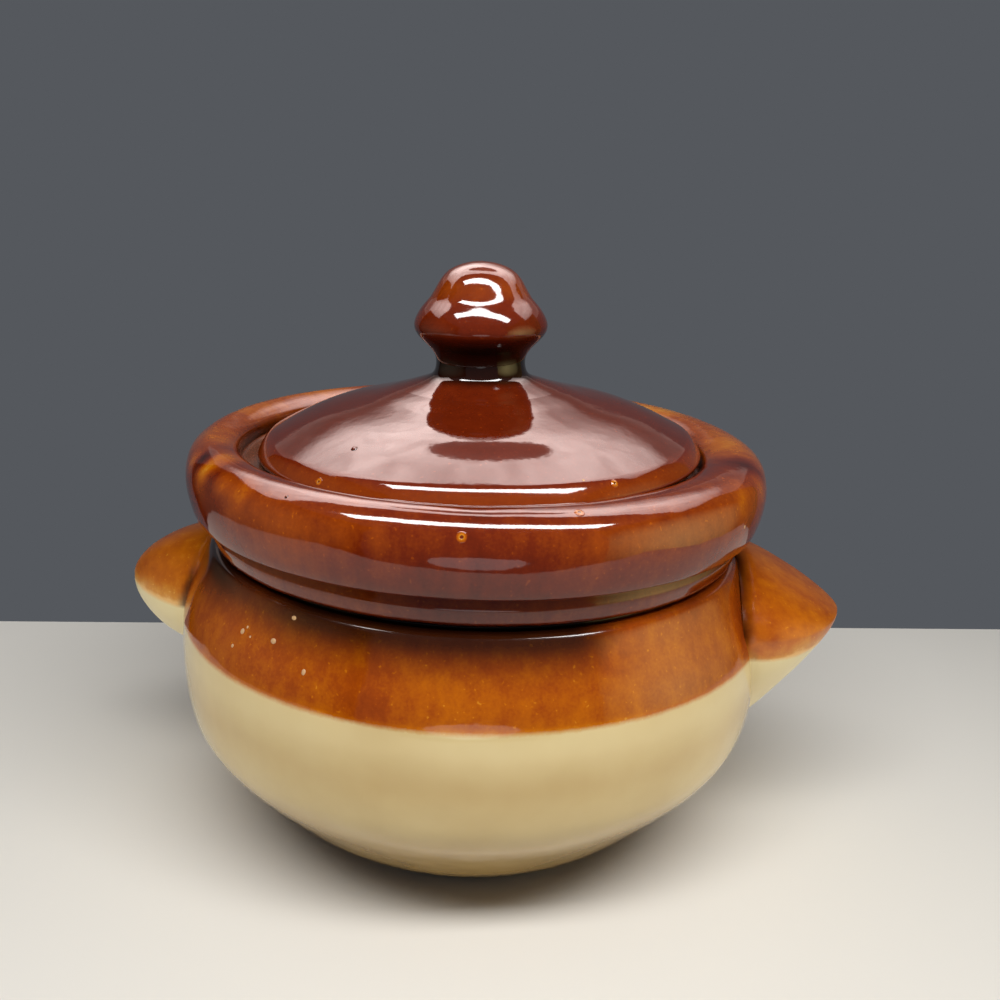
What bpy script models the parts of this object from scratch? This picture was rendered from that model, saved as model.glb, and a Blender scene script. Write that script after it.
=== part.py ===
"""A small glazed stoneware bean pot with two lugs and a loose domed lid, in metres, +Z up."""
import math

import bmesh
import bpy

# Lid: a domed plate that drops into the gallery inside the rim
LID_RADIUS = 0.0424
LID_EDGE_THICKNESS = 0.0040
LID_EDGE_BULGE = 0.0016
LID_RISE = 0.0100
LID_WALL = 0.0052
LID_EDGE_SLOPE = math.radians(27)
LID_CROWN_SLOPE = math.radians(13)
FLANGE_DEPTH = 0.0036
FLANGE_WIDTH = 0.0040

# Clearances between pieces that touch on the real pot
LID_PLAY = 0.0022
FLANGE_PLAY = 0.0014
SEAT_GAP = 0.0003
JOIN_GAP = 0.0003

# Knob: a bell on a short waist, luted to the middle of the lid
KNOB_HEIGHT = 0.0219
KNOB_RADIUS = 0.01255
KNOB_WAIST_RADIUS = 0.00845
KNOB_WAIST_HEIGHT = 0.0036
KNOB_EDGE_HEIGHT = 0.0098
KNOB_EDGE_ROUND = 0.0015
KNOB_CROWN_RADIUS = 0.0080
KNOB_CROWN_DROP = 0.0042
KNOB_CROWN_END = 14
KNOB_FOOT_RADIUS = 0.0113
KNOB_FOOT_EDGE = 0.0006

# Rim: a rolled collar round the gallery, with a bead under it
POT_HEIGHT = 0.0783
RIM_WIDTH = 0.0104
LIP_ROUND_WIDTH = 0.0048
LIP_ROUND_HEIGHT = 0.0028
RIM_ROUND = 0.0067
RIM_DEPTH = 0.0134
RIM_TAPER = 0.0026
STEP_WIDTH = 0.0014
STEP_DROP = 0.0004
BEAD_SETBACK = 0.0029
BEAD_HEIGHT = 0.0054
GROOVE_WIDTH = 0.0009
LEDGE_WIDTH = 0.0051
LEDGE_DEPTH = 0.0040
LEDGE_THICKNESS = 0.0050

# Bowl below the neck
SHOULDER_WIDTH = 0.0087
SHOULDER_FULLNESS = 2.3
BELLY_HEIGHT = 0.0380
BELLY_DROP = 0.0200
FOOT_RADIUS = 0.0300
FOOT_SLOPE = math.radians(36)
FOOT_PULL = 0.0170
FOOT_RING_WIDTH = 0.0060
FOOT_RECESS = 0.0010
WALL = 0.0048
FLOOR = 0.0055

# Lugs: rounded ears luted to the sides by hand, so the right one is broader and sits higher than the left
LUG_REACH = 0.0146
RIGHT_LUG_HALF_WIDTH = 0.0220
RIGHT_LUG_TIP_HEIGHT = 0.0475
RIGHT_LUG_RISE = 0.0100
RIGHT_LUG_FALL = 0.0232
LEFT_LUG_HALF_WIDTH = 0.0156
LEFT_LUG_TIP_HEIGHT = 0.0452
LEFT_LUG_RISE = 0.0126
LEFT_LUG_FALL = 0.0182
LUG_PLAN_POWER = 1.6
LUG_PROFILE_POWER = 1.3
LUG_TOP_POWER = 2.1
LUG_UNDER_POWER = 1.55
LUG_ROOT_SETBACK = 0.0036

# Facets, and how near two points may lie before they are one
TURN_STEPS = 48
KNOB_STEPS = 32
ARC_POINTS = 6
LUG_RINGS = 8
LUG_RING_POINTS = 24
SAME_POINT = 0.00001

# Sizes that follow from the ones above
GALLERY_RADIUS = LID_RADIUS + LID_PLAY
MOUTH_RADIUS = GALLERY_RADIUS - LEDGE_WIDTH
CREST_RADIUS = GALLERY_RADIUS + LIP_ROUND_WIDTH
RIM_RADIUS = GALLERY_RADIUS + RIM_WIDTH
EDGE_RADIUS = RIM_RADIUS - RIM_TAPER
BEAD_RADIUS = EDGE_RADIUS - STEP_WIDTH
NECK_RADIUS = BEAD_RADIUS - BEAD_SETBACK
BELLY_RADIUS = NECK_RADIUS + SHOULDER_WIDTH
EDGE_HEIGHT = POT_HEIGHT - RIM_DEPTH
BEAD_TOP = EDGE_HEIGHT - STEP_DROP
NECK_HEIGHT = BEAD_TOP - BEAD_HEIGHT - GROOVE_WIDTH
LEDGE_HEIGHT = POT_HEIGHT - LEDGE_DEPTH
SEAT_HEIGHT = LEDGE_HEIGHT + SEAT_GAP
KNOB_SEAT_HEIGHT = LID_EDGE_THICKNESS + LID_RISE
FLANGE_RADIUS = MOUTH_RADIUS - FLANGE_PLAY
LUG_TIP_RADIUS = BELLY_RADIUS + LUG_REACH
LUG_ROOT_RADIUS = BELLY_RADIUS - LUG_ROOT_SETBACK
RIGHT_LUG = (RIGHT_LUG_HALF_WIDTH, RIGHT_LUG_TIP_HEIGHT, RIGHT_LUG_RISE, RIGHT_LUG_FALL)
LEFT_LUG = (LEFT_LUG_HALF_WIDTH, LEFT_LUG_TIP_HEIGHT, LEFT_LUG_RISE, LEFT_LUG_FALL)


def arc(centre, radii, start, end, power=2.0):
    """Points on a superellipse arc round a centre, from one angle to another, both ends included."""
    points = []
    for step in range(ARC_POINTS + 1):
        angle = math.radians(start + (end - start) * step / ARC_POINTS)
        across = math.copysign(abs(math.cos(angle)) ** (2 / power), math.cos(angle))
        up = math.copysign(abs(math.sin(angle)) ** (2 / power), math.sin(angle))
        points.append((centre[0] + radii[0] * across, centre[1] + radii[1] * up))
    return points


def bezier(first, second, third, last):
    """Points on a cubic curve through its two ends, both included."""
    points = []
    for step in range(ARC_POINTS + 1):
        t = step / ARC_POINTS
        weights = ((1 - t) ** 3, 3 * t * (1 - t) ** 2, 3 * t * t * (1 - t), t ** 3)
        corners = (first, second, third, last)
        points.append(tuple(sum(w * c[axis] for w, c in zip(weights, corners)) for axis in (0, 1)))
    return points


def chain(*runs):
    """Joins runs of profile points, dropping a point that repeats the one before it."""
    points = []
    for run in runs:
        for point in run:
            if not points or math.dist(point, points[-1]) > SAME_POINT:
                points.append(point)
    return points


def material(name, colour, roughness):
    """A glazed finish with the piece's own colour."""
    finish = bpy.data.materials.new(name)
    finish.use_nodes = True
    shader = finish.node_tree.nodes["Principled BSDF"]
    shader.inputs["Base Color"].default_value = (*colour, 1.0)
    shader.inputs["Roughness"].default_value = roughness
    shader.inputs["Metallic"].default_value = 0.0
    return finish


def add_object(name, mesh, finish, height=0.0):
    """Links a mesh to the scene as a named piece whose origin is on the pot's axis."""
    piece = bpy.data.objects.new(name, mesh)
    piece.location = (0.0, 0.0, height)
    if finish:
        mesh.materials.append(finish)
    bpy.context.collection.objects.link(piece)
    return piece


def turned(name, profile, steps, finish, height=0.0):
    """A piece thrown on the wheel: a profile at +X, run down its outer side, turned about Z."""
    mesh = bpy.data.meshes.new(name)
    points = [(radius, 0.0, level) for radius, level in profile]
    mesh.from_pydata(points, [(i, i + 1) for i in range(len(points) - 1)], [])
    piece = add_object(name, mesh, finish, height)
    turn = piece.modifiers.new("turn", "SCREW")
    turn.steps = steps
    turn.render_steps = steps
    turn.use_merge_vertices = True
    turn.merge_threshold = SAME_POINT
    turn.use_smooth_shade = True
    return piece


def belly_curve(inset, foot_level):
    """The lower bowl, from the widest part of the belly in to the foot."""
    widest = BELLY_RADIUS - inset
    foot = FOOT_RADIUS - inset
    pull = (foot + FOOT_PULL * math.cos(FOOT_SLOPE), foot_level + FOOT_PULL * math.sin(FOOT_SLOPE))
    return bezier((widest, BELLY_HEIGHT), (widest, BELLY_HEIGHT - BELLY_DROP), pull, (foot, foot_level))


def shoulder_curve(inset):
    """The upper bowl, from the neck out and down to the widest part of the belly."""
    centre = (NECK_RADIUS - inset, BELLY_HEIGHT)
    radii = (SHOULDER_WIDTH, NECK_HEIGHT - inset - BELLY_HEIGHT)
    return arc(centre, radii, 90, 0, SHOULDER_FULLNESS)


def outer_profile():
    """The pot's outside, from the crest of the rim down to the foot."""
    rim_middle = POT_HEIGHT - RIM_ROUND
    over_rim = arc((CREST_RADIUS, rim_middle), (RIM_RADIUS - CREST_RADIUS, RIM_ROUND), 90, 0)
    under_rim = bezier((RIM_RADIUS, rim_middle), (RIM_RADIUS, (2 * rim_middle + EDGE_HEIGHT) / 3),
                       ((2 * RIM_RADIUS + EDGE_RADIUS) / 3, (rim_middle + 2 * EDGE_HEIGHT) / 3),
                       (EDGE_RADIUS, EDGE_HEIGHT))
    bead = arc((NECK_RADIUS, BEAD_TOP), (BEAD_RADIUS - NECK_RADIUS, BEAD_HEIGHT), 0, -90)
    return chain(over_rim, under_rim, bead, shoulder_curve(0.0), belly_curve(0.0, 0.0))


def inner_profile():
    """The pot's inside, from the middle of its floor up to the crest of the rim."""
    belly = belly_curve(WALL, FLOOR)[::-1]
    shoulder = shoulder_curve(WALL)[::-1]
    ledge_underside = LEDGE_HEIGHT - LEDGE_THICKNESS
    ledge = [(MOUTH_RADIUS, ledge_underside), (MOUTH_RADIUS, LEDGE_HEIGHT), (GALLERY_RADIUS, LEDGE_HEIGHT)]
    lip = arc((CREST_RADIUS, POT_HEIGHT - LIP_ROUND_HEIGHT), (LIP_ROUND_WIDTH, LIP_ROUND_HEIGHT), 180, 90)
    return chain([(0.0, FLOOR)], belly, shoulder, ledge, lip)


def pot_body_profile():
    """The whole wall of the pot, closed underneath by the foot ring and its recess."""
    ring_inside = FOOT_RADIUS - FOOT_RING_WIDTH
    foot = [(ring_inside, 0.0), (ring_inside - FOOT_RECESS, FOOT_RECESS), (0.0, FOOT_RECESS)]
    return chain(inner_profile(), outer_profile(), foot)


def lid_profile():
    """The lid from the knob's seat over the dome and edge, then in under the seat and flange."""
    edge_middle = LID_EDGE_THICKNESS / 2
    edge_start = LID_RADIUS - LID_EDGE_BULGE
    span = edge_start - KNOB_FOOT_RADIUS
    reach = span / 3
    dome = bezier((KNOB_FOOT_RADIUS, KNOB_SEAT_HEIGHT),
                  (KNOB_FOOT_RADIUS + reach, KNOB_SEAT_HEIGHT - reach * math.tan(LID_CROWN_SLOPE)),
                  (edge_start - reach, LID_EDGE_THICKNESS + reach * math.tan(LID_EDGE_SLOPE)),
                  (edge_start, LID_EDGE_THICKNESS))
    edge = arc((edge_start, edge_middle), (LID_EDGE_BULGE, edge_middle), 90, -90)
    hollow_radius = FLANGE_RADIUS - FLANGE_WIDTH
    hollow_top = KNOB_SEAT_HEIGHT - LID_WALL
    flange = [(FLANGE_RADIUS, 0.0), (FLANGE_RADIUS, -FLANGE_DEPTH), (hollow_radius, -FLANGE_DEPTH)]
    hollow = bezier((hollow_radius, 0.0), (hollow_radius - reach, hollow_top * 2 / 3),
                    (hollow_radius - 2 * reach, hollow_top), (0.0, hollow_top))
    return chain([(0.0, KNOB_SEAT_HEIGHT)], dome, edge, flange, hollow)


def knob_profile():
    """The knob from its crown down over the bell and in to the waist and foot."""
    crown_level = KNOB_HEIGHT - KNOB_CROWN_DROP
    crown = arc((0.0, crown_level), (KNOB_CROWN_RADIUS, KNOB_CROWN_DROP), 90, KNOB_CROWN_END)
    edge_top = (KNOB_RADIUS - KNOB_EDGE_ROUND / 3, KNOB_EDGE_HEIGHT + KNOB_EDGE_ROUND)
    edge_foot = (KNOB_RADIUS - KNOB_EDGE_ROUND / 3, KNOB_EDGE_HEIGHT - KNOB_EDGE_ROUND)
    lean = (edge_top[0] - crown[-1][0]) / 3
    drop = (crown[-1][1] - edge_top[1]) / 3
    bell = bezier(crown[-1], (crown[-1][0] + lean / 2, crown[-1][1] - drop),
                  (edge_top[0] - lean / 2, edge_top[1] + drop), edge_top)
    edge = [edge_top, (KNOB_RADIUS, KNOB_EDGE_HEIGHT), edge_foot]
    tuck = (edge_foot[1] - KNOB_WAIST_HEIGHT) / 2
    underside = bezier(edge_foot, (edge_foot[0] - tuck / 2, edge_foot[1] - tuck / 2),
                       (KNOB_WAIST_RADIUS, KNOB_WAIST_HEIGHT + tuck), (KNOB_WAIST_RADIUS, KNOB_WAIST_HEIGHT))
    foot_edge = (KNOB_FOOT_RADIUS, KNOB_FOOT_EDGE)
    foot = bezier((KNOB_WAIST_RADIUS, KNOB_WAIST_HEIGHT), (KNOB_WAIST_RADIUS, KNOB_WAIST_HEIGHT / 2),
                  ((KNOB_WAIST_RADIUS + KNOB_FOOT_RADIUS) / 2, KNOB_FOOT_EDGE), foot_edge)
    return chain(crown, bell, edge, underside, foot, [(KNOB_FOOT_RADIUS, 0.0), (0.0, 0.0)])


def lug_ring(bm, shape, share, radius):
    """One closed ring of a lug's section, at a share of the way from root to tip."""
    half_width, tip_height, rise, fall = shape
    width = half_width * (1.0 - share ** LUG_PLAN_POWER) ** (1.0 / LUG_PLAN_POWER)
    height = (1.0 - share ** LUG_PROFILE_POWER) ** (1.0 / LUG_PROFILE_POWER)
    corners = []
    for step in range(LUG_RING_POINTS):
        angle = 2 * math.pi * step / LUG_RING_POINTS
        lift, power = (rise, LUG_TOP_POWER) if step < LUG_RING_POINTS / 2 else (fall, LUG_UNDER_POWER)
        across = math.copysign(abs(math.cos(angle)) ** (2 / power), math.cos(angle))
        up = math.copysign(abs(math.sin(angle)) ** (2 / power), math.sin(angle))
        corners.append(bm.verts.new((radius, width * across, tip_height + lift * height * up)))
    return corners


def add_lug(name, shape, turn, cutter, finish):
    """A rounded ear that stands out from the side, cut to the pot's wall with a joint gap."""
    bm = bmesh.new()
    half_width, tip_height = shape[:2]
    buried = math.sqrt(max(NECK_RADIUS ** 2 - half_width ** 2, 0.0)) - WALL / 2
    rings = [lug_ring(bm, shape, 0.0, buried)]
    for step in range(LUG_RINGS):
        share = math.sin(math.pi / 2 * step / LUG_RINGS)
        rings.append(lug_ring(bm, shape, share, LUG_ROOT_RADIUS + (LUG_TIP_RADIUS - LUG_ROOT_RADIUS) * share))
    tip = bm.verts.new((LUG_TIP_RADIUS, 0.0, tip_height))
    bm.faces.new(rings[0])
    for near, far in zip(rings, rings[1:]):
        for i in range(LUG_RING_POINTS):
            j = (i + 1) % LUG_RING_POINTS
            bm.faces.new((near[i], near[j], far[j], far[i]))
    for i in range(LUG_RING_POINTS):
        bm.faces.new((rings[-1][i], rings[-1][(i + 1) % LUG_RING_POINTS], tip))
    bmesh.ops.recalc_face_normals(bm, faces=bm.faces)
    mesh = bpy.data.meshes.new(name)
    bm.to_mesh(mesh)
    bm.free()
    mesh.shade_smooth()
    lug = add_object(name, mesh, finish)
    lug.rotation_euler = (0.0, 0.0, turn)
    cut = lug.modifiers.new("fit to the side", "BOOLEAN")
    cut.operation = "DIFFERENCE"
    cut.object = cutter
    return lug


def add_lug_cutter():
    """The pot's outside as a solid, swollen by the joint gap, which shapes the root of each lug."""
    profile = chain([(0.0, POT_HEIGHT)], outer_profile(), [(0.0, 0.0)])
    cutter = turned("lug_cutter", profile, TURN_STEPS, None)
    swell = cutter.modifiers.new("joint gap", "DISPLACE")
    swell.strength = JOIN_GAP
    swell.mid_level = 0.0
    cutter.hide_render = True
    cutter.display_type = "WIRE"
    return cutter


def build():
    """Clears the scene and makes the pot, its lugs, the lid and its knob."""
    for old in list(bpy.data.objects):
        bpy.data.objects.remove(old, do_unlink=True)
    body_glaze = material("brown_and_cream_glaze", (0.22, 0.055, 0.012), 0.12)
    lug_glaze = material("amber_glaze", (0.42, 0.14, 0.02), 0.14)
    lid_glaze = material("brown_glaze", (0.17, 0.03, 0.01), 0.10)
    knob_glaze = material("dark_brown_glaze", (0.11, 0.018, 0.008), 0.10)
    turned("pot_body", pot_body_profile(), TURN_STEPS, body_glaze)
    cutter = add_lug_cutter()
    add_lug("right_lug", RIGHT_LUG, 0.0, cutter, lug_glaze)
    add_lug("left_lug", LEFT_LUG, math.pi, cutter, lug_glaze)
    lid = turned("lid", lid_profile(), TURN_STEPS, lid_glaze, SEAT_HEIGHT)
    knob = turned("lid_knob", knob_profile(), KNOB_STEPS, knob_glaze, KNOB_SEAT_HEIGHT + JOIN_GAP)
    knob.parent = lid


build()
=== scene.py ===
import math

import bpy
from mathutils import Matrix, Vector
from mathutils.kdtree import KDTree


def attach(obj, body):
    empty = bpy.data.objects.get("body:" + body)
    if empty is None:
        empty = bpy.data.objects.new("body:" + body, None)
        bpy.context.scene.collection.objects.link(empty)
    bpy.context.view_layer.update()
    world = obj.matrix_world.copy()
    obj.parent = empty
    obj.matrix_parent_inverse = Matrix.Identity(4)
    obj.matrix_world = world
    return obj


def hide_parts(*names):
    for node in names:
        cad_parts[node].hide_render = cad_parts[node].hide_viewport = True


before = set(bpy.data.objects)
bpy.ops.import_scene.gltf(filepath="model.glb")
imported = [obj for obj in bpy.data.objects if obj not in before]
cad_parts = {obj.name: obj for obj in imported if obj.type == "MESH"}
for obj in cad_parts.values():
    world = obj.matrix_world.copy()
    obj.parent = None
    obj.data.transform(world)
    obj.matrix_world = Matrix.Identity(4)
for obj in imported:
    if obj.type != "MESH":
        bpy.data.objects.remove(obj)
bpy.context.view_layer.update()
mm = 0.001
weldGap = 0.005 * mm  # points closer than this become one
print("frame:", ", ".join(sorted(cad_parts)))

# The photographed view is turned a little about the pot, so the right lug comes nearer
viewTurn = math.radians(5.3)
viewRight = Vector((math.cos(viewTurn), math.sin(viewTurn), 0.0))
viewAway = Vector((-math.sin(viewTurn), math.cos(viewTurn), 0.0))


def fromView(across, away, up):
    # mm to the right, away from the camera and up, as a place in the frame
    return (viewRight * across + viewAway * away + Vector((0.0, 0.0, up))) * mm


def hexColour(code):
    # sRGB hex to the linear colour a shader wants
    parts = [int(code[i:i + 2], 16) / 255 for i in (1, 3, 5)]
    return (*[c / 12.92 if c <= 0.04045 else ((c + 0.055) / 1.055) ** 2.4 for c in parts], 1.0)


def clamp(value):
    return min(1.0, max(0.0, value))


def ease(value):
    share = clamp(value)
    return share * share * (3 - 2 * share)


# Shaping

def smoothLine(points, step):
    # one flowing curve through given points in mm: close points turn tightly, far ones sweep
    spots = [Vector(p) for p in points]
    spots = [spots[0] * 2 - spots[1], *spots, spots[-1] * 2 - spots[-2]]
    line = [spots[1]]
    for a, b, c, d in zip(spots, spots[1:], spots[2:], spots[3:]):
        t1 = math.sqrt((b - a).to_2d().length)
        t2 = t1 + math.sqrt((c - b).to_2d().length)
        t3 = t2 + math.sqrt((d - c).to_2d().length)
        count = max(2, math.ceil((c - b).to_2d().length / step))
        for i in range(1, count + 1):
            t = t1 + (t2 - t1) * i / count
            ab = a * ((t1 - t) / t1) + b * (t / t1)
            bc = b * ((t2 - t) / (t2 - t1)) + c * ((t - t1) / (t2 - t1))
            cd = c * ((t3 - t) / (t3 - t2)) + d * ((t - t2) / (t3 - t2))
            abc = ab * ((t2 - t) / t2) + bc * (t / t2)
            bcd = bc * ((t3 - t) / (t3 - t1)) + cd * ((t - t1) / (t3 - t1))
            line.append(abc * ((t2 - t) / (t2 - t1)) + bcd * ((t - t1) / (t2 - t1)))
    return line


def throwOnWheel(name, parts, steps):
    # draws the outline from one point, spins it into a closed piece and notes how the glaze lies along it;
    # an outline point is radius and height, and may add how thin the glaze is there and how much it pools; in
    # places these values also stand for painted light and painted shade
    line = []
    coat = []
    for part in parts:
        points = [p if len(p) == 4 else (*p, part["thin"], 0.0) for p in part["line"]]
        run = smoothLine(points, part["step"])[1 if line else 0:]
        line += [spot.to_2d() for spot in run]
        coat += [{"thin": spot[2], "poolAndShade": clamp(spot[3]), "lining": part.get("lining", 0.0),
                  "bare": part.get("bare", 0.0)} for spot in run]
    bpy.ops.object.select_all(action="DESELECT")
    bpy.ops.mesh.primitive_plane_add(size=2 * mm)
    piece = bpy.context.object
    piece.name = name
    bpy.ops.object.mode_set(mode="EDIT")
    bpy.ops.mesh.select_all(action="SELECT")
    bpy.ops.mesh.merge(type="CENTER")
    bpy.ops.transform.translate(value=(line[0].x * mm, 0.0, line[0].y * mm))
    for near, far in zip(line, line[1:]):
        reach = (far - near) * mm
        bpy.ops.mesh.extrude_vertices_move(TRANSFORM_OT_translate={"value": (reach.x, 0.0, reach.y)})
    bpy.ops.mesh.select_all(action="SELECT")
    bpy.ops.mesh.spin(steps=steps, angle=2 * math.pi, center=(0.0, 0.0, 0.0), axis=(0.0, 0.0, 1.0))
    bpy.ops.mesh.select_all(action="SELECT")
    bpy.ops.mesh.remove_doubles(threshold=weldGap)
    bpy.ops.mesh.normals_make_consistent(inside=False)
    bpy.ops.object.mode_set(mode="OBJECT")
    bpy.ops.object.shade_smooth()
    nearest = KDTree(len(line))
    for i, spot in enumerate(line):
        nearest.insert((spot.x, 0.0, spot.y), i)
    nearest.balance()
    rows = [nearest.find((math.hypot(v.co.x, v.co.y) / mm, 0.0, v.co.z / mm))[1]
            for v in piece.data.vertices]
    for kind in ("thin", "poolAndShade", "lining", "bare"):
        paint(piece, kind, [coat[row][kind] for row in rows])
    return piece


def paint(piece, kind, values):
    piece.data.attributes.new(kind, "FLOAT", "POINT").data.foreach_set("value", values)


def applyAll(piece):
    bpy.ops.object.select_all(action="DESELECT")
    bpy.context.view_layer.objects.active = piece
    piece.select_set(True)
    for modifier in list(piece.modifiers):
        bpy.ops.object.modifier_apply(modifier=modifier.name)


def choose(piece, name, shareAt):
    # a vertex group of the points that shareAt picks, places in mm
    group = piece.vertex_groups.new(name=name)
    for point in piece.data.vertices:
        share = shareAt(point.co / mm)
        if share > 0:
            group.add([point.index], share, "REPLACE")


def wobble(piece, name, depth, size, shareAt=None):
    # the slow unevenness that hands leave in soft clay, which makes reflections waver
    waves = bpy.data.textures.new(name, "CLOUDS")
    waves.noise_scale = size * mm
    waves.noise_depth = 1
    push = piece.modifiers.new(name, "DISPLACE")
    push.texture = waves
    push.texture_coords = "LOCAL"
    push.strength = depth * mm
    push.mid_level = 0.5
    if shareAt:
        choose(piece, name, shareAt)
        push.vertex_group = name
    applyAll(piece)
    piece.vertex_groups.clear()


def pull(piece, name, shareAt, shift):
    # moves the points that shareAt picks, each by its share of the shift in mm
    choose(piece, name, shareAt)
    for axis, amount in zip("XYZ", shift):
        if amount == 0:
            continue
        push = piece.modifiers.new(name + axis, "DISPLACE")
        push.direction = axis
        push.vertex_group = name
        push.mid_level = 0.0
        push.strength = amount * mm
    applyAll(piece)
    piece.vertex_groups.clear()


def dress(piece, finish, node, body):
    piece.data.materials.clear()
    piece.data.materials.append(finish)
    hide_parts(node)
    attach(piece, body)
    print(piece.name, "stands for", node, "with", len(piece.data.polygons), "faces")


# Materials

def addNode(tree, kind, settings, links=None):
    node = tree.nodes.new(kind)
    for key, value in settings.items():
        if isinstance(key, int) or key in node.inputs:
            node.inputs[key].default_value = value
        else:
            setattr(node, key, value)
    for socket, source in (links or {}).items():
        tree.links.new(source, node.inputs[socket])
    return node


def newFinish(name):
    finish = bpy.data.materials.new(name)
    finish.use_nodes = True
    tree = finish.node_tree
    return finish, tree, tree.nodes["Principled BSDF"]


def setStops(ramp, stops):
    band = ramp.color_ramp
    while len(band.elements) < len(stops):
        band.elements.new(0.5)
    for element, (place, code) in zip(band.elements, stops):
        element.position = place
        element.color = hexColour(code)


# lengths in mm; brown runs from where the glaze is thick to where it is thin, and cream likewise, where the
# cream's darker and lighter bands also stand for painted shade and painted bounce light
glaze = {
    "dipLevel": 44.1,
    "dipBlur": 0.45,
    "ragged": 0.4,
    "fringe": 1.1,
    "fringeLift": 0.11,
    "cloudSize": 13.0,
    "mottleSize": 2.4,
    "grainSize": 0.5,
    "streakStretch": 0.12,
    "speckSize": 0.6,
    "speckFrom": 0.75,
    "speckFull": 0.85,
    "speckLift": 0.14,
    "brown": [(0.0, "#1c0602"), (0.2, "#430f04"), (0.4, "#661f06"), (0.6, "#8c3b06"), (0.76, "#ac5a02"),
              (0.9, "#c07d20"), (1.0, "#d9a55a")],
    "pooledAndShaded": "#0d0502",
    "cream": [(0.2, "#7e5c1c"), (0.5, "#b89b64"), (0.72, "#cdb682"), (0.9, "#d6c491")],
    "clay": "#b79a72",
    "clayRoughness": 0.85,
    "rippleSize": 2.2,
    "rippleDepth": 0.06,
    "rippleStrength": 0.35,
    "refraction": 1.52,
}


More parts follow.
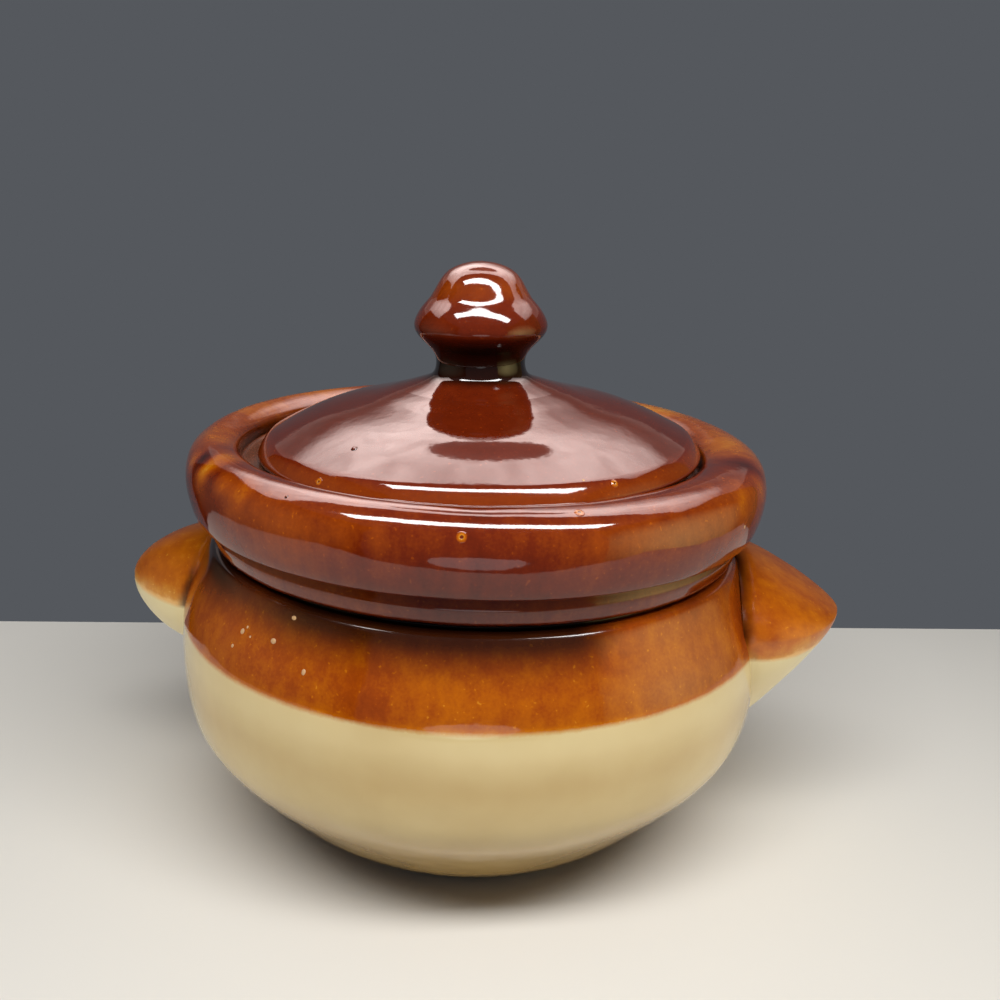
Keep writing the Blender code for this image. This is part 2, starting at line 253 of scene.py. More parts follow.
def glazeFinish(name, coat):
    # Iron-brown glaze over buff stoneware, fired glossy: amber where it runs thin over an edge, nearly black
    # where it pools and, as painted shade, in hollows and under overhangs, with a cream glaze below the dip
    # line and bare clay where the pot stood in the kiln; some of its lighter places are painted light
    finish, tree, shader = newFinish(name)
    spot = addNode(tree, "ShaderNodeTexCoord", {}).outputs["Object"]
    height = addNode(tree, "ShaderNodeSeparateXYZ", {}, {"Vector": spot}).outputs["Z"]
    drawn = addNode(tree, "ShaderNodeMapping", {"Scale": (1.0, 1.0, glaze["streakStretch"])},
                    {"Vector": spot})
    painted = {kind: addNode(tree, "ShaderNodeAttribute", {"attribute_name": kind}).outputs["Fac"]
               for kind in ("thin", "poolAndShade", "lining", "bare")}

    # how thin the glaze looks, from broad clouds down to specks
    tone = painted["thin"]
    tones = {}
    noises = {}
    for kind, size, source in (("cloud", glaze["cloudSize"], spot), ("mottle", glaze["mottleSize"], spot),
                               ("grain", glaze["grainSize"], spot),
                               ("streak", glaze["mottleSize"], drawn.outputs["Vector"])):
        noise = addNode(tree, "ShaderNodeTexNoise", {"Scale": 1000 / size, "Detail": 3.0}, {"Vector": source})
        noises[kind] = noise.outputs["Fac"]
        swing = addNode(tree, "ShaderNodeMath",
                        {"operation": "MULTIPLY_ADD", 1: coat[kind], 2: -coat[kind] / 2}, {0: noises[kind]})
        tone = addNode(tree, "ShaderNodeMath", {"operation": "ADD"},
                       {0: tone, 1: swing.outputs[0]}).outputs[0]
        tones[kind] = tone
    ragged = addNode(tree, "ShaderNodeMath", {"operation": "ADD"}, {0: noises["mottle"], 1: noises["grain"]})
    level = addNode(tree, "ShaderNodeMath", {"operation": "MULTIPLY_ADD", 1: glaze["ragged"] * mm},
                    {0: ragged.outputs[0], 2: height}).outputs[0]
    dipLine = glaze["dipLevel"] + glaze["ragged"]
    fringe = addNode(tree, "ShaderNodeMapRange",
                     {"From Min": dipLine * mm, "From Max": (dipLine + glaze["fringe"]) * mm,
                      "To Min": glaze["fringeLift"], "To Max": 0.0}, {"Value": level})
    tone = addNode(tree, "ShaderNodeMath", {"operation": "ADD"},
                   {0: tone, 1: fringe.outputs["Result"]}).outputs[0]
    specks = addNode(tree, "ShaderNodeTexNoise", {"Scale": 1000 / glaze["speckSize"], "Detail": 0.0},
                     {"Vector": spot})
    flecked = addNode(tree, "ShaderNodeMapRange",
                      {"From Min": glaze["speckFrom"], "From Max": glaze["speckFull"],
                       "To Max": glaze["speckLift"]}, {"Value": specks.outputs["Fac"]})
    tone = addNode(tree, "ShaderNodeMath", {"operation": "ADD"},
                   {0: tone, 1: flecked.outputs["Result"]}).outputs[0]

    # brown above the dip line and in the lining, cream below it, clay where it was wiped off
    brown = addNode(tree, "ShaderNodeValToRGB", {}, {"Fac": tone})
    setStops(brown, glaze["brown"])
    # pooled glaze and painted shade both darken the brown towards near-black here
    deep = addNode(tree, "ShaderNodeMix", {"data_type": "RGBA", 7: hexColour(glaze["pooledAndShaded"])},
                   {"Factor": painted["poolAndShade"], 6: brown.outputs["Color"]})
    cream = addNode(tree, "ShaderNodeValToRGB", {}, {"Fac": tones["cloud"]})
    setStops(cream, glaze["cream"])
    dipped = addNode(tree, "ShaderNodeMapRange",
                     {"From Min": (dipLine - glaze["dipBlur"]) * mm,
                      "From Max": (dipLine + glaze["dipBlur"]) * mm}, {"Value": level})
    coated = addNode(tree, "ShaderNodeMath", {"operation": "MAXIMUM"},
                     {0: dipped.outputs["Result"], 1: painted["lining"]})
    twoTone = addNode(tree, "ShaderNodeMix", {"data_type": "RGBA"},
                      {"Factor": coated.outputs[0], 6: cream.outputs["Color"], 7: deep.outputs[2]})
    colour = addNode(tree, "ShaderNodeMix", {"data_type": "RGBA", 7: hexColour(glaze["clay"])},
                     {"Factor": painted["bare"], 6: twoTone.outputs[2]})
    tree.links.new(colour.outputs[2], shader.inputs["Base Color"])

    # one gloss all over, or duller where it pools and rough where it is wiped to the clay, and a faint ripple
    shader.inputs["Roughness"].default_value = coat["gloss"]
    if coat["wiped"]:
        rough = addNode(tree, "ShaderNodeMapRange",
                        {"To Min": coat["gloss"], "To Max": glaze["clayRoughness"]},
                        {"Value": painted["bare"]})
        dull = addNode(tree, "ShaderNodeMath", {"operation": "MULTIPLY_ADD", 1: coat["poolDulling"]},
                       {0: painted["poolAndShade"], 2: rough.outputs["Result"]})
        tree.links.new(dull.outputs[0], shader.inputs["Roughness"])
    ripple = addNode(tree, "ShaderNodeTexNoise", {"Scale": 1000 / glaze["rippleSize"], "Detail": 2.0},
                     {"Vector": spot})
    bump = addNode(tree, "ShaderNodeBump",
                   {"Strength": glaze["rippleStrength"], "Distance": glaze["rippleDepth"] * mm},
                   {"Height": ripple.outputs["Fac"]})
    tree.links.new(bump.outputs["Normal"], shader.inputs["Normal"])
    shader.inputs["IOR"].default_value = glaze["refraction"]
    return finish


# The bowl: one thrown wall from the floor inside, over the rim and down to the foot

bowl = {
    "inside": {"line": [(0.0, 5.5), (12, 5.5), (24, 6.2), (32, 9.6), (40, 16), (46, 22), (50, 28.5),
                        (51.9, 36), (51.6, 43), (49.6, 50), (46, 54.5), (43.6, 57.6), (42, 62),
                        (40.2, 67.4), (39.5, 69.6), (39.5, 72.6)],
               "step": 3.0, "thin": 0.4, "lining": 1.0},
    # The ledge's low thin value and the throat's pool values darken the gap under the lid as painted shade,
    # together with some bare clay on the ledge and glaze pooling in the throat.
    "ledge": {"line": [(39.5, 72.6), (39.8, 73.0), (40.4, 73.1), (43.4, 73.1), (43.85, 73.4)],
              "step": 0.7, "thin": 0.2, "bare": 0.1},
    "throat": {"line": [(43.85, 73.4, 0.3, 0.9), (43.95, 74.0, 0.3, 0.9), (43.95, 75.4, 0.3, 0.6),
                        (44.4, 76.6, 0.32, 0.2), (46.0, 77.7, 0.36, 0.0), (48.0, 78.2, 0.4, 0.0)],
               "step": 0.7},
    "rim": {"line": [(48.0, 78.2, 0.4, 0.0), (49.4, 78.3, 0.42, 0.0), (51.25, 77.95, 0.42, 0.0),
                     (52.9, 77.0, 0.45, 0.0), (53.8, 76.1, 0.48, 0.0), (54.4, 75.0, 0.5, 0.0),
                     (54.87, 73.2, 0.5, 0.0), (55.0, 71.6, 0.46, 0.0), (54.87, 69.6, 0.43, 0.0),
                     (54.5, 67.7, 0.41, 0.0), (54.15, 66.4, 0.4, 0.0), (53.8, 65.5, 0.39, 0.0),
                     (53.63, 65.2, 0.37, 0.0), (53.35, 65.02, 0.36, 0.0), (52.8, 64.92, 0.34, 0.2),
                     (51.6, 64.7, 0.34, 0.4)], "step": 0.6},
    # From the rim's lower edge over the bead and the neck to the belly's shoulder, the pool values are glaze
    # pooling there together with painted shade under the rim's overhang.
    "bead": {"line": [(51.6, 64.7, 0.34, 0.4), (50.75, 64.45, 0.36, 0.25), (50.42, 64.0, 0.44, 0.0),
                      (50.72, 63.2, 0.56, 0.0), (51.0, 62.5, 0.52, 0.0), (50.98, 61.85, 0.46, 0.0),
                      (50.75, 61.0, 0.44, 0.0), (50.5, 60.2, 0.42, 0.0), (50.25, 59.65, 0.36, 0.2),
                      (49.7, 59.2, 0.32, 0.8), (48.9, 58.9, 0.3, 0.95), (48.3, 58.6, 0.3, 0.97),
                      (48.1, 58.35, 0.4, 0.97), (48.3, 58.2, 0.5, 0.97)], "step": 0.4},
    # Below the dip line the belly's thin values darken the cream at mid height and towards the foot, painted
    # shade that is partly thin glaze at the foot, and lighten it in the band between, painted bounce light
    # from the floor.
    "belly": {"line": [(48.3, 58.2, 0.5, 0.97), (49.6, 58.15, 0.55, 0.95), (50.6, 57.85, 0.58, 0.92),
                       (51.2, 57.2, 0.6, 0.9), (51.75, 56.1, 0.62, 0.84), (52.6, 54.2, 0.62, 0.5),
                       (54.1, 51.2, 0.64, 0.1), (55.4, 48.4, 0.65, 0.0), (56.2, 45.8, 0.65, 0.0),
                       (56.5, 44.4, 0.7, 0.0), (56.75, 41, 0.74, 0.0), (56.8, 38, 0.66, 0.0),
                       (56.65, 34, 0.58, 0.0), (56.2, 29.5, 0.64, 0.0), (55.2, 25.2, 0.66, 0.0),
                       (53.2, 21.4, 0.54, 0.0), (50.4, 17.9, 0.48, 0.0), (47.2, 14.4, 0.46, 0.0),
                       (43.8, 10.8, 0.42, 0.0), (40.2, 7.2, 0.34, 0.0), (35.6, 3.6, 0.3, 0.0),
                       (32.2, 1.2, 0.26, 0.0), (31.0, 0.3, 0.3, 0.0), (30.2, 0.0, 0.3, 0.0)],
              "step": 1.0},
    "foot": {"line": [(30.2, 0.0), (26, 0.0), (24.4, 0.0), (23.8, 0.3), (23.0, 0.9), (22.0, 1.0),
                      (10, 1.0), (0.0, 1.0)], "step": 2.0, "thin": 0.5, "bare": 1.0},
    "steps": 288,
    # the mouth lies to one side of the rim's middle
    "lip": {"shift": -1.35, "radius": 53, "level": 66, "blend": 6},
    "waverDepth": 0.22,
    "waverSize": 26,
    "rippleDepth": 0.12,
    "rippleSize": 8,
    "coat": {"cloud": 0.2, "mottle": 0.16, "grain": 0.14, "streak": 0.2, "gloss": 0.07, "wiped": True,
             "poolDulling": 0.08},
    # across, away and up in mm, how far it spreads, and how much thinner the glaze is there, which on the top
    # of the rim is painted light
    "thinAndLightPatches": [(0, -55, 69, 20, -0.1), (-30, -46, 71, 14, 0.05), (-54, -12, 71, 26, -0.22),
                    (-43, -33, 74.5, 7, -0.16), (44, -33, 73, 15, 0.05), (51, -18, 74, 12, 0.08),
                    # the top of the rim, lightened to amber as painted light from above, with a dark spot
                    # near each end and gold along its outer edge
                    (-48, -7, 78.3, 17, 0.42), (-45, 14, 78.2, 17, 0.3), (-36, 34, 78, 24, 0.3),
                    (-43, -24, 78.3, 8, 0.34), (-46.5, -14, 78.3, 7, 0.12),
                    (-47.5, -22.5, 77.3, 3.6, -0.36), (-50, -19.5, 76.1, 4, 0.3), (-46.5, -27, 76.1, 4, 0.3),
                    (-41.7, -33.7, 76.3, 4, 0.28), (-37.6, -38.1, 76.4, 4, 0.2),
                    (40, 30, 78, 24, 0.4), (50, 8, 78, 16, 0.25), (46, -5, 78.2, 15, 0.34),
                    (48, -16.5, 78, 7, -0.3), (50, -21, 76, 5, 0.15), (45, -29, 76.4, 5, 0.15),
                    # the brown belly
                    (2, -56, 47, 14, 0.04), (16, -54, 48, 12, 0.04), (-15, -54, 46, 12, -0.1),
                    (51, -26, 51, 8, -0.2), (-56, -11, 51, 8, -0.2)],
    # the same for the pooled glaze and painted shade on the shoulder, less of both to the right
    "poolAndShadePatches": [(27, -45, 56, 12, -0.9), (36, -36, 57.4, 17, -1.0), (44, -26, 57, 15, -1.0),
                    (48, -17, 57, 11, -0.8), (-38, -36, 57, 14, -0.25)],
}

# Small faults of the firing, each turned as a closed button and let into the surface
faults = {
    "steps": 14,
    # chips differ in length: the shortest, how much longer they come, and how that runs from one to the next
    "chipShortest": 0.6,
    "chipLonger": 0.8,
    "chipRhythm": 0.37,
    "pit": [{"line": [(0.0, -0.3, 0.9, 1.0), (0.16, -0.26, 0.9, 1.0), (0.26, 0.02, 0.8, 0.8),
                      (0.4, 0.08, 0.86, 0.0), (0.62, 0.05, 0.74, 0.0), (1.0, -0.06, 0.55, 0.0),
                      (0.6, -0.5, 0.6, 0.0), (0.0, -0.6, 0.6, 0.0)], "step": 0.1}],
    "bubble": [{"line": [(0.0, 0.34, 0.4, 0.0), (0.3, 0.28, 0.4, 0.0), (0.48, 0.12, 0.36, 0.4),
                         (0.62, 0.0, 0.3, 0.9), (0.9, -0.06, 0.3, 0.5), (0.5, -0.5, 0.3, 0.0),
                         (0.0, -0.6, 0.3, 0.0)], "step": 0.1}],
    "chip": [{"line": [(0.0, 0.14), (0.3, 0.13), (0.5, 0.1), (0.66, 0.04), (0.75, -0.08), (0.4, -0.5),
                       (0.0, -0.6)], "step": 0.1, "thin": 0.8, "bare": 0.7}],
    # kind, radius from the axis and height in mm, the angle seen from above, and size
    "bowl": [("pit", 54.1, 75.2, -86.9, 0.9), ("pit", 51.1, 77.9, -67.1, 0.9),
             ("bubble", 52.5, 77.2, -118.9, 0.5), ("chip", 55.0, 70.9, -29.1, 0.45),
             ("chip", 55.0, 52.4, -130.1, 0.7), ("chip", 54.8, 53.1, -121.8, 0.65),
             ("chip", 55.8, 50.1, -113.6, 0.7), ("chip", 55.9, 49.5, -131.3, 0.45),
             ("chip", 52.6, 57.1, -118.8, 0.5), ("chip", 54.7, 53.4, -129.2, 0.35),
             ("chip", 55.1, 52.2, -127.6, 0.3)],
    "lid": [("pit", 41.1, 78.3, -51.6, 0.75), ("pit", 42.1, 77.6, -124.3, 0.75),
            ("bubble", 34.3, 81.8, -122.6, 1.0), ("chip", 39.7, 79.1, -59.3, 0.4)],
}


def addFaults(piece, marks):
    for i, (kind, radius, height, angle, size) in enumerate(marks):
        button = throwOnWheel("fault_" + str(i), faults[kind], faults["steps"])
        turn = math.radians(angle)
        spot = Vector((radius * math.cos(turn), radius * math.sin(turn), height)) * mm
        found, place, facing, face = piece.closest_point_on_mesh(spot)
        stretch = 1.0  # pits and bubbles are round
        if kind == "chip":
            stretch = faults["chipShortest"] + faults["chipLonger"] * ((i * faults["chipRhythm"]) % 1.0)
        turned = facing.to_track_quat("Z", "Y")
        button.matrix_world = Matrix.LocRotScale(place, turned, (size * stretch, size, size))
        bpy.ops.object.select_all(action="DESELECT")
        bpy.context.view_layer.objects.active = button
        button.select_set(True)
        bpy.ops.object.transform_apply(location=True, rotation=True, scale=True)
        piece.select_set(True)
        bpy.context.view_layer.objects.active = piece
        bpy.ops.object.join()


def varyGlaze(piece, kind, patches):
    # lets the glaze run thinner or thicker, or pool less, in places, and so also moves painted light and
    # shade
    layer = piece.data.attributes[kind].data
    spots = [(fromView(*patch[:3]) / mm, patch[3], patch[4]) for patch in patches]
    for point, value in zip(piece.data.vertices, layer):
        change = sum(most * ease(1 - (point.co / mm - place).length / reach) for place, reach, most in spots)
        value.value = clamp(value.value + change)


def makeBowl():
    parts = [bowl[part] for part in ("inside", "ledge", "throat", "rim", "bead", "belly", "foot")]
    piece = throwOnWheel("glazed_bowl", parts, bowl["steps"])
    lip = bowl["lip"]

    def onLip(p):
        inside = (lip["radius"] - math.hypot(p.x, p.y)) / lip["blend"]
        return ease(inside) * ease((p.z - lip["level"]) / lip["blend"])

    pull(piece, "lip", onLip, viewRight * lip["shift"])
    wobble(piece, "bowl waver", bowl["waverDepth"], bowl["waverSize"])
    wobble(piece, "bowl ripple", bowl["rippleDepth"], bowl["rippleSize"])
    varyGlaze(piece, "thin", bowl["thinAndLightPatches"])
    varyGlaze(piece, "poolAndShade", bowl["poolAndShadePatches"])
    addFaults(piece, faults["bowl"])
    dress(piece, glazeFinish("glazed stoneware bowl", bowl["coat"]), "pot_body", "pot")


# The lugs: a rounded ear each side, luted on with a thumb line at the root

lugs = {
    "right": {"tip": 71.6, "halfWidth": 22.0, "tipHeight": 47.8, "rise": 10.5, "fall": 25.8,
              "planPower": 1.79, "edgePower": 1.11, "topKeel": 0.03, "underKeel": 0.4, "side": 1},
    "left": {"tip": 70.4, "halfWidth": 16.1, "tipHeight": 44.1, "rise": 11.7, "fall": 13.5,
             "planPower": 1.4, "edgePower": 1.78, "topKeel": -0.26, "underKeel": 0.36, "side": -1},
    "buried": 50.5,
    "root": 53.2,
    "rings": 40,
    "spokes": 72,
    "groove": 0.4,
    "grooveReach": 1.8,
    "grooveFoot": 36,
    "grooveFade": 8,
    # how dark the thumb line is: glaze pooled in it and painted shade in the crease
    "groovePoolAndShade": 0.85,
    "waverDepth": 0.3,
    "waverSize": 12,
    # how thin the glaze lies at the dip line, and how much thicker above it and out at the tip; below the dip
    # line the same value lightens the lugs' cream as painted bounce light from the floor
    "thin": 0.9,
    "thicker": {"level": 44, "rise": 5, "change": 0.2},
    "tipThicker": {"from": 63, "reach": 8, "change": 0.05},
    "coat": {"cloud": 0.34, "mottle": 0.26, "grain": 0.1, "streak": 0.0, "gloss": 0.32, "wiped": False},
}


def bowlRadius(height):
    spots = [point[:2] for point in bowl["belly"]["line"]]
    for (r0, z0), (r1, z1) in zip(spots, spots[1:]):
        if z1 <= height <= z0:
            return r0 + (r1 - r0) * (z0 - height) / (z0 - z1)
    return spots[0][0]


def lugRing(shape, share):
    # reach from the axis, and how wide and tall one section of the ear is beside the one at the root
    reach = lugs["root"] + (shape["tip"] - lugs["root"]) * share
    width = (1 - share ** shape["planPower"]) ** (1 / shape["planPower"])
    tall = (1 - share ** shape["edgePower"]) ** (1 / shape["edgePower"])
    return reach, width, tall


def lugEdge(shape, turn):
    # a place on the root section, full above and narrowing to a keel below
    keel, lift = (shape["topKeel"], shape["rise"]) if turn < math.pi else (shape["underKeel"], shape["fall"])
    up = math.sin(turn)
    across = math.cos(turn) * (1 - keel * up * up)
    return Vector((lugs["buried"], shape["halfWidth"] * across, shape["tipHeight"] + lift * up)) * mm


def makeLug(which):
    shape = lugs[which]
    shares = [math.sin(math.pi / 2 * (i / lugs["rings"])) for i in range(lugs["rings"])]
    edge = [lugEdge(shape, 2 * math.pi * i / lugs["spokes"]) for i in range(lugs["spokes"])]
    bpy.ops.object.select_all(action="DESELECT")
    bpy.ops.mesh.primitive_plane_add(size=2 * mm)
    piece = bpy.context.object
    piece.name = "glazed_" + which + "_lug"
    bpy.ops.object.mode_set(mode="EDIT")
    bpy.ops.mesh.select_all(action="SELECT")
    bpy.ops.mesh.merge(type="CENTER")
    bpy.ops.transform.translate(value=edge[0])
    for near, far in zip(edge, edge[1:]):
        bpy.ops.mesh.extrude_vertices_move(TRANSFORM_OT_translate={"value": far - near})
    bpy.ops.mesh.select_all(action="SELECT")
    bpy.ops.mesh.edge_face_add()
    last = (lugs["buried"], 1.0, 1.0)
    for share in shares:
        ring = lugRing(shape, share)
        step = Vector(((ring[0] - last[0]) * mm, 0.0, 0.0))
        bpy.ops.mesh.extrude_region_move(TRANSFORM_OT_translate={"value": step})
        centre = Vector((ring[0], 0.0, shape["tipHeight"])) * mm
        bpy.ops.transform.resize(value=(1.0, ring[1] / last[1], ring[2] / last[2]), center_override=centre)
        last = ring
    bpy.ops.mesh.select_all(action="SELECT")
    bpy.ops.mesh.normals_make_consistent(inside=False)
    bpy.ops.object.mode_set(mode="OBJECT")
    bpy.ops.object.shade_smooth()

    def nearRoot(p):
        out = math.hypot(p.x, p.y) - bowlRadius(p.z)
        above = (p.z - lugs["grooveFoot"]) / lugs["grooveFade"]
        return ease(1 - abs(out) / lugs["grooveReach"]) * ease(above)

    def thinAt(p):
        up, tip = lugs["thicker"], lugs["tipThicker"]
        thicker = up["change"] * ease((p.z - up["level"]) / up["rise"])
        return lugs["thin"] - thicker - tip["change"] * ease((p.x - tip["from"]) / tip["reach"])

    choose(piece, "root", nearRoot)
    sink = piece.modifiers.new("thumb line", "DISPLACE")
    sink.vertex_group = "root"
    sink.mid_level = 0.0
    sink.strength = -lugs["groove"] * mm
    applyAll(piece)
    piece.vertex_groups.clear()
    paint(piece, "thin", [thinAt(v.co / mm) for v in piece.data.vertices])
    # the thumb line darkens as glaze pooled in it and as painted shade in the crease
    paint(piece, "poolAndShade", [lugs["groovePoolAndShade"] * nearRoot(v.co / mm) for v in piece.data.vertices])
    if shape["side"] < 0:
        piece.rotation_euler = (0.0, 0.0, math.pi)
        bpy.ops.object.transform_apply(location=True, rotation=True, scale=True)
    wobble(piece, which + " lug waver", lugs["waverDepth"], lugs["waverSize"])
    finish = glazeFinish("glazed stoneware " + which + " lug", lugs["coat"])
    dress(piece, finish, which + "_lug", "pot")


# The lid and its knob sit a little to the right and ride up on that side

lidPlace = {"shift": 0.2, "tilt": math.radians(1.5), "seat": 74.6}


def settle(piece):
    # leans and shifts a piece about the middle of the lid's seat
    pivot = Vector((0.0, 0.0, lidPlace["seat"] * mm))
    lean = Matrix.Rotation(-lidPlace["tilt"], 4, viewAway)
    back = Matrix.Translation(pivot + viewRight * lidPlace["shift"] * mm)
    piece.matrix_world = back @ lean @ Matrix.Translation(-pivot)
    bpy.ops.object.select_all(action="DESELECT")
    bpy.context.view_layer.objects.active = piece
    piece.select_set(True)
    bpy.ops.object.transform_apply(location=True, rotation=True, scale=True)


lid = {
    "top": {"line": [(0.0, 89.7), (5, 89.6), (9, 89.0), (14, 87.75), (17, 86.92), (20, 85.98),
                     (23, 85.22), (26, 84.5), (29, 83.68), (32, 82.6), (35, 81.32), (37.5, 80.1),
                     (39.2, 79.25)], "step": 0.9, "thin": 0.31},
    # Under the edge the pool values are glaze pooling there together with painted shade where the lid sits in
    # the rim.
    "edge": {"line": [(39.2, 79.25, 0.33, 0.0), (40.1, 78.75, 0.38, 0.0), (40.7, 78.2, 0.44, 0.0),
                      (41.3, 77.45, 0.48, 0.0), (41.9, 76.5, 0.48, 0.0), (42.2, 75.9, 0.44, 0.0),
                      (42.0, 75.3, 0.38, 0.2), (41.4, 74.85, 0.3, 0.5), (40.6, 74.6, 0.3, 0.6)],
             "step": 0.35},
    "under": {"line": [(40.6, 74.6), (39.0, 74.6), (38.3, 74.5), (38.1, 74.0), (38.1, 71.6), (37.8, 71.1),
                       (37.2, 71.0), (34.9, 71.0), (34.3, 71.2), (34.1, 71.8), (33.6, 74.0)],
              "step": 0.7, "thin": 0.5, "bare": 1.0},
    "hollow": {"line": [(33.6, 74.0), (32.0, 75.6), (30, 77.0), (23, 80.4), (14, 82.8), (0.0, 83.4)],
               "step": 2.0, "thin": 0.44},
    "steps": 224,
    "wobbleDepth": 0.2,
    "wobbleSize": 13,
    # the lid is true under the knob and uneven further out
    "wobbleFrom": 15,
    "wobbleBlend": 6,
    "coat": {"cloud": 0.1, "mottle": 0.1, "grain": 0.1, "streak": 0.0, "gloss": 0.07, "wiped": True,
             "poolDulling": 0.0},
}


def awayFromKnob(p):
    return ease((math.hypot(p.x, p.y) - lid["wobbleFrom"]) / lid["wobbleBlend"])


def makeLid():
    parts = [lid[part] for part in ("top", "edge", "under", "hollow")]
    piece = throwOnWheel("glazed_lid", parts, lid["steps"])
    wobble(piece, "lid waver", lid["wobbleDepth"], lid["wobbleSize"], awayFromKnob)
    addFaults(piece, faults["lid"])
    settle(piece)
    dress(piece, glazeFinish("glazed stoneware lid", lid["coat"]), "lid", "lid")


knob = {
    "crown": {"line": [(0.0, 110.8, 0.4, 0.0), (2.4, 110.52, 0.4, 0.0), (4.6, 109.85, 0.4, 0.0),
                       (6.2, 108.9, 0.4, 0.0), (7.3, 107.7, 0.46, 0.0), (8.1, 106.45, 0.5, 0.0),
                       (8.82, 105.2, 0.48, 0.0), (9.48, 104.15, 0.43, 0.0), (10.3, 103.2, 0.39, 0.0),
                       (11.1, 102.25, 0.37, 0.0), (11.8, 101.2, 0.36, 0.0), (12.3, 100.2, 0.36, 0.0),
                       (12.55, 99.2, 0.36, 0.0), (12.4, 98.2, 0.34, 0.0), (11.9, 97.3, 0.3, 0.3)],
              "step": 0.4},
    # The waist's pool values are glaze pooling there together with painted shade under the crown.
    "waist": {"line": [(11.9, 97.3, 0.3, 0.3), (11.2, 96.5, 0.3, 0.85), (10.3, 95.6, 0.28, 0.95),
                       (9.3, 94.5, 0.26, 0.95), (8.65, 93.4, 0.26, 0.95), (8.45, 92.4, 0.26, 0.92),
                       (8.5, 91.4, 0.26, 0.9), (8.75, 90.5, 0.26, 0.9), (9.3, 89.75, 0.28, 0.8),
                       (10.3, 89.15, 0.3, 0.3), (11.6, 88.65, 0.31, 0.0), (14.0, 87.85, 0.31, 0.0),
                       (16.4, 87.0, 0.31, 0.0)], "step": 0.35},
    "foot": {"line": [(16.4, 87.0), (15.8, 86.8), (12.0, 86.8), (6.0, 86.8), (0.0, 86.8)],
             "step": 1.5, "thin": 0.3},
    "steps": 144,
    "wobbleDepth": 0.14,
    "wobbleSize": 7,
    # its skirt stays true, so that it lies flush on the lid
    "wobbleFrom": 88.5,
    "wobbleBlend": 2.5,
    "coat": {"cloud": 0.2, "mottle": 0.14, "grain": 0.1, "streak": 0.0, "gloss": 0.07, "wiped": False},
}


def aboveSkirt(p):
    return ease((p.z - knob["wobbleFrom"]) / knob["wobbleBlend"])


def makeKnob():
    parts = [knob[part] for part in ("crown", "waist", "foot")]
    piece = throwOnWheel("glazed_knob", parts, knob["steps"])
    wobble(piece, "knob waver", knob["wobbleDepth"], knob["wobbleSize"], aboveSkirt)
    settle(piece)
    dress(piece, glazeFinish("glazed stoneware knob", knob["coat"]), "lid_knob", "lid")


# Floor, light and camera

studio = {
    "floor": "#d8d4cc",
    "floorRoughness": 0.7,
    "floorTurn": viewTurn + math.radians(3.5),
    "floorHalfWidth": 280,
    "floorFront": -165,
    "floorBack": 87,
    "backdrop": "#55585d",
    # soft panels: the key lights the clay, and the bar and the card are what the glaze mirrors
    "key": {"place": (25, -240, 400), "aim": (0, -40, 30), "size": (560, 100), "bright": 16.8,
            "seen": "diffuse"},
    "bar": {"place": (15, -130, 430), "aim": (15, -130, 80), "size": (530, 90), "bright": 26,
            "seen": "glossy"},
    "bounceLeft": {"place": (-150, -20, 4), "aim": (-150, -20, 80), "size": (170, 260), "bright": 0.75,
                   "seen": "diffuse"},
    "bounceRight": {"place": (150, -20, 4), "aim": (150, -20, 80), "size": (170, 260), "bright": 0.9,
                    "seen": "diffuse"},
    "card": {"place": (3, -178, 25), "aim": (3, 0, 25), "size": (92, 46), "bright": 1.0, "seen": "glossy",
             "shape": "ELLIPSE"},
    # sheets of cloth, lit from their glow outwards and only ever seen in the glaze
    "cloth": {"place": (0, 300, 264), "turn": 0.0, "size": (700, 556), "bright": 7.9, "base": 0.5,
              "spread": (0.12, 0.7), "glow": (-15, 60, 264), "reach": (330, 400, 100), "folds": 60,
              "tint": "#ffe9e3"},
    "right": {"place": (245, -40, 110), "turn": math.pi / 2, "size": (380, 420), "bright": 2.6,
              "base": 0.12, "spread": (0.0, 1.0), "glow": (245, -110, 60), "reach": (100, 190, 190),
              "folds": 200, "tint": "#ffeaa0"},
    "left": {"place": (-245, -60, 110), "turn": math.pi / 2, "size": (380, 520), "bright": 0.3,
             "base": 0.0, "spread": (0.0, 1.0), "glow": (-245, -60, 90), "reach": (100, 260, 220),
             "folds": 200, "tint": "#fff0d0"},
    # how bright the hollows and the crests of its folds are, and the noise values that they lie at
    "foldShade": (0.75, 1.1),
    "foldRange": (0.3, 0.7),
    # darker openings in the overhead cloth, each fading in over its edge
    "hatches": [{"place": (4, 96, 264), "reach": (56, 36, 100), "edge": 0.1, "dim": 0.07},
                {"place": (68, 250, 264), "reach": (110, 140, 100), "edge": 1.0, "dim": 0.35},
                {"place": (0, 430, 264), "reach": (420, 240, 100), "edge": 0.6, "dim": 0.4}],
}


def makeFloor():
    bpy.ops.object.select_all(action="DESELECT")
    deep = studio["floorBack"] - studio["floorFront"]
    middle = Vector((0.0, studio["floorBack"] - deep / 2, 0.0))
    middle = Matrix.Rotation(studio["floorTurn"], 3, "Z") @ middle * mm
    bpy.ops.mesh.primitive_grid_add(x_subdivisions=2, y_subdivisions=2, size=mm, location=middle,
                                    rotation=(0.0, 0.0, studio["floorTurn"]))
    floor = bpy.context.object
    floor.name = "studio_floor"
    floor.scale = (2 * studio["floorHalfWidth"], deep, 1.0)
    bpy.ops.object.transform_apply(location=True, rotation=True, scale=True)
    # Matt paper off a roll: even and pale, too dull to mirror the pot
    paper, tree, shader = newFinish("matt paper floor")
    shader.inputs["Base Color"].default_value = hexColour(studio["floor"])
    shader.inputs["Roughness"].default_value = studio["floorRoughness"]
    floor.data.materials.append(paper)


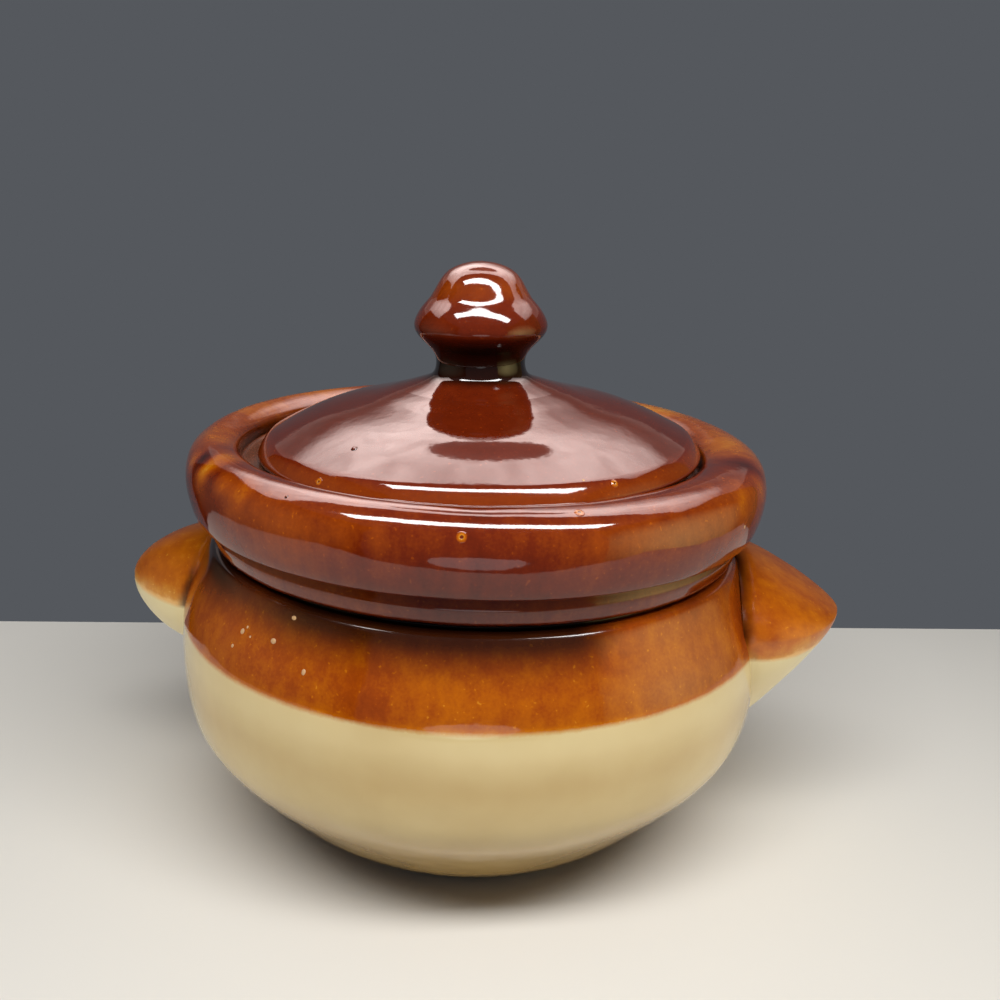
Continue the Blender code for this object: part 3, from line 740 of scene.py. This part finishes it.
def addPanel(name, look):
    # a flat soft light aimed at a place, its brightness the same at any size
    place = fromView(*look["place"])
    turn = (fromView(*look["aim"]) - place).to_track_quat("-Z", "Y").to_euler()
    bpy.ops.object.light_add(type="AREA", location=place, rotation=turn)
    panel = bpy.context.object
    panel.name = name
    wide, deep = look["size"]
    panel.data.shape = look.get("shape", "RECTANGLE")
    panel.data.size = wide * mm
    panel.data.size_y = deep * mm
    panel.data.energy = look["bright"] * math.pi * wide * deep * mm * mm
    panel.visible_camera = False
    panel.visible_diffuse = look["seen"] != "glossy"
    panel.visible_glossy = look["seen"] != "diffuse"


def fadeAround(tree, place, middle, reach):
    # one at the middle, falling to nothing at the reach
    spot = addNode(tree, "ShaderNodeMapping",
                   {"vector_type": "TEXTURE", "Location": fromView(*middle),
                    "Rotation": (0.0, 0.0, viewTurn), "Scale": Vector(reach) * mm}, {"Vector": place})
    return addNode(tree, "ShaderNodeTexGradient", {"gradient_type": "SPHERICAL"},
                   {"Vector": spot.outputs["Vector"]}).outputs["Fac"]


def makeSheet(name, look, hatches=()):
    # a sheet of lit cloth, brightest at its glow and a little uneven in its folds, with hatches if given
    wide, deep = look["size"]
    bpy.ops.object.select_all(action="DESELECT")
    bpy.ops.mesh.primitive_plane_add(size=mm, location=fromView(*look["place"]),
                                     rotation=(0.0, look["turn"], viewTurn))
    sheet = bpy.context.object
    sheet.name = name
    sheet.scale = (wide, deep, 1.0)
    bpy.ops.object.transform_apply(location=True, rotation=True, scale=True)
    finish, tree, shader = newFinish("lit cloth " + name)
    place = addNode(tree, "ShaderNodeTexCoord", {}).outputs["Object"]
    folds = addNode(tree, "ShaderNodeTexNoise",
                    {"Scale": 1000 / look["folds"], "Detail": 2.0, "Distortion": 1.5}, {"Vector": place})
    low, high = studio["foldRange"]
    shaded, raised = studio["foldShade"]
    uneven = addNode(tree, "ShaderNodeMapRange",
                     {"From Min": low, "From Max": high, "To Min": shaded, "To Max": raised},
                     {"Value": folds.outputs["Fac"]})
    dark, full = look["spread"]
    glow = addNode(tree, "ShaderNodeMapRange", {"From Min": dark, "From Max": full, "To Min": look["base"],
                                               "To Max": look["bright"]},
                   {"Value": fadeAround(tree, place, look["glow"], look["reach"])})
    lit = addNode(tree, "ShaderNodeMath", {"operation": "MULTIPLY"},
                  {0: glow.outputs["Result"], 1: uneven.outputs["Result"]})
    for hatch in hatches:
        shut = addNode(tree, "ShaderNodeMapRange",
                       {"From Max": hatch["edge"], "To Min": 1.0, "To Max": hatch["dim"]},
                       {"Value": fadeAround(tree, place, hatch["place"], hatch["reach"])})
        lit = addNode(tree, "ShaderNodeMath", {"operation": "MULTIPLY"},
                      {0: lit.outputs[0], 1: shut.outputs["Result"]})
    shader.inputs["Base Color"].default_value = hexColour("#000000")
    shader.inputs["Emission Color"].default_value = hexColour(look["tint"])
    tree.links.new(lit.outputs[0], shader.inputs["Emission Strength"])
    sheet.data.materials.append(finish)
    sheet.visible_camera = False
    sheet.visible_diffuse = False


def shineOn(lights, pieces):
    # keeps these lights to these pieces
    lit = bpy.data.collections.new("lit by " + lights[0])
    for name in pieces:
        lit.objects.link(bpy.data.objects[name])
    for name in lights:
        bpy.data.objects[name].light_linking.receiver_collection = lit


def makeLight():
    addPanel("light_key", studio["key"])
    addPanel("light_bar", studio["bar"])
    addPanel("light_card", studio["card"])
    addPanel("light_bounce_left", studio["bounceLeft"])
    addPanel("light_bounce_right", studio["bounceRight"])
    makeSheet("studio_cloth", studio["cloth"], studio["hatches"])
    makeSheet("studio_right", studio["right"])
    makeSheet("studio_left", studio["left"])
    shineOn(("light_bar", "studio_cloth"), ("glazed_bowl", "glazed_lid", "glazed_knob"))
    shineOn(("light_bounce_left", "light_bounce_right"),
            ("glazed_bowl", "glazed_left_lug", "glazed_right_lug"))
    world = bpy.data.worlds.new("studio")
    world.use_nodes = True
    world.node_tree.nodes["Background"].inputs["Color"].default_value = hexColour(studio["backdrop"])
    bpy.context.scene.world = world
    bpy.context.scene.view_settings.view_transform = "Standard"


camera = {
    "distance": 205.0,
    "height": 126.84,
    "pitch": math.radians(16.849),
    "yaw": math.radians(1.255),
    "roll": math.radians(2.372),
    "lens": 39.1,
    "sensor": 36.0,
}


def makeCamera():
    pitch, yaw, roll = camera["pitch"], camera["yaw"], camera["roll"]
    level = viewRight * math.sin(yaw) + viewAway * math.cos(yaw)
    ahead = level * math.cos(pitch) - Vector((0.0, 0.0, math.sin(pitch)))
    right = ahead.cross(Vector((0.0, 0.0, 1.0))).normalized()
    up = right.cross(ahead)
    rolledRight = right * math.cos(roll) + up * math.sin(roll)
    rolledUp = up * math.cos(roll) - right * math.sin(roll)
    bpy.ops.object.camera_add(location=fromView(0, -camera["distance"], camera["height"]))
    eye = bpy.context.object
    turn = Matrix((rolledRight, rolledUp, -ahead)).transposed()
    eye.matrix_world = Matrix.Translation(eye.location) @ turn.to_4x4()
    eye.data.lens = camera["lens"]
    eye.data.sensor_width = camera["sensor"]
    eye.data.clip_start = 1 * mm
    eye.data.clip_end = 10.0
    bpy.context.scene.camera = eye


makeBowl()
makeLug("right")
makeLug("left")
makeLid()
makeKnob()
print("pieces made")
makeFloor()
makeLight()
makeCamera()
print("studio set")
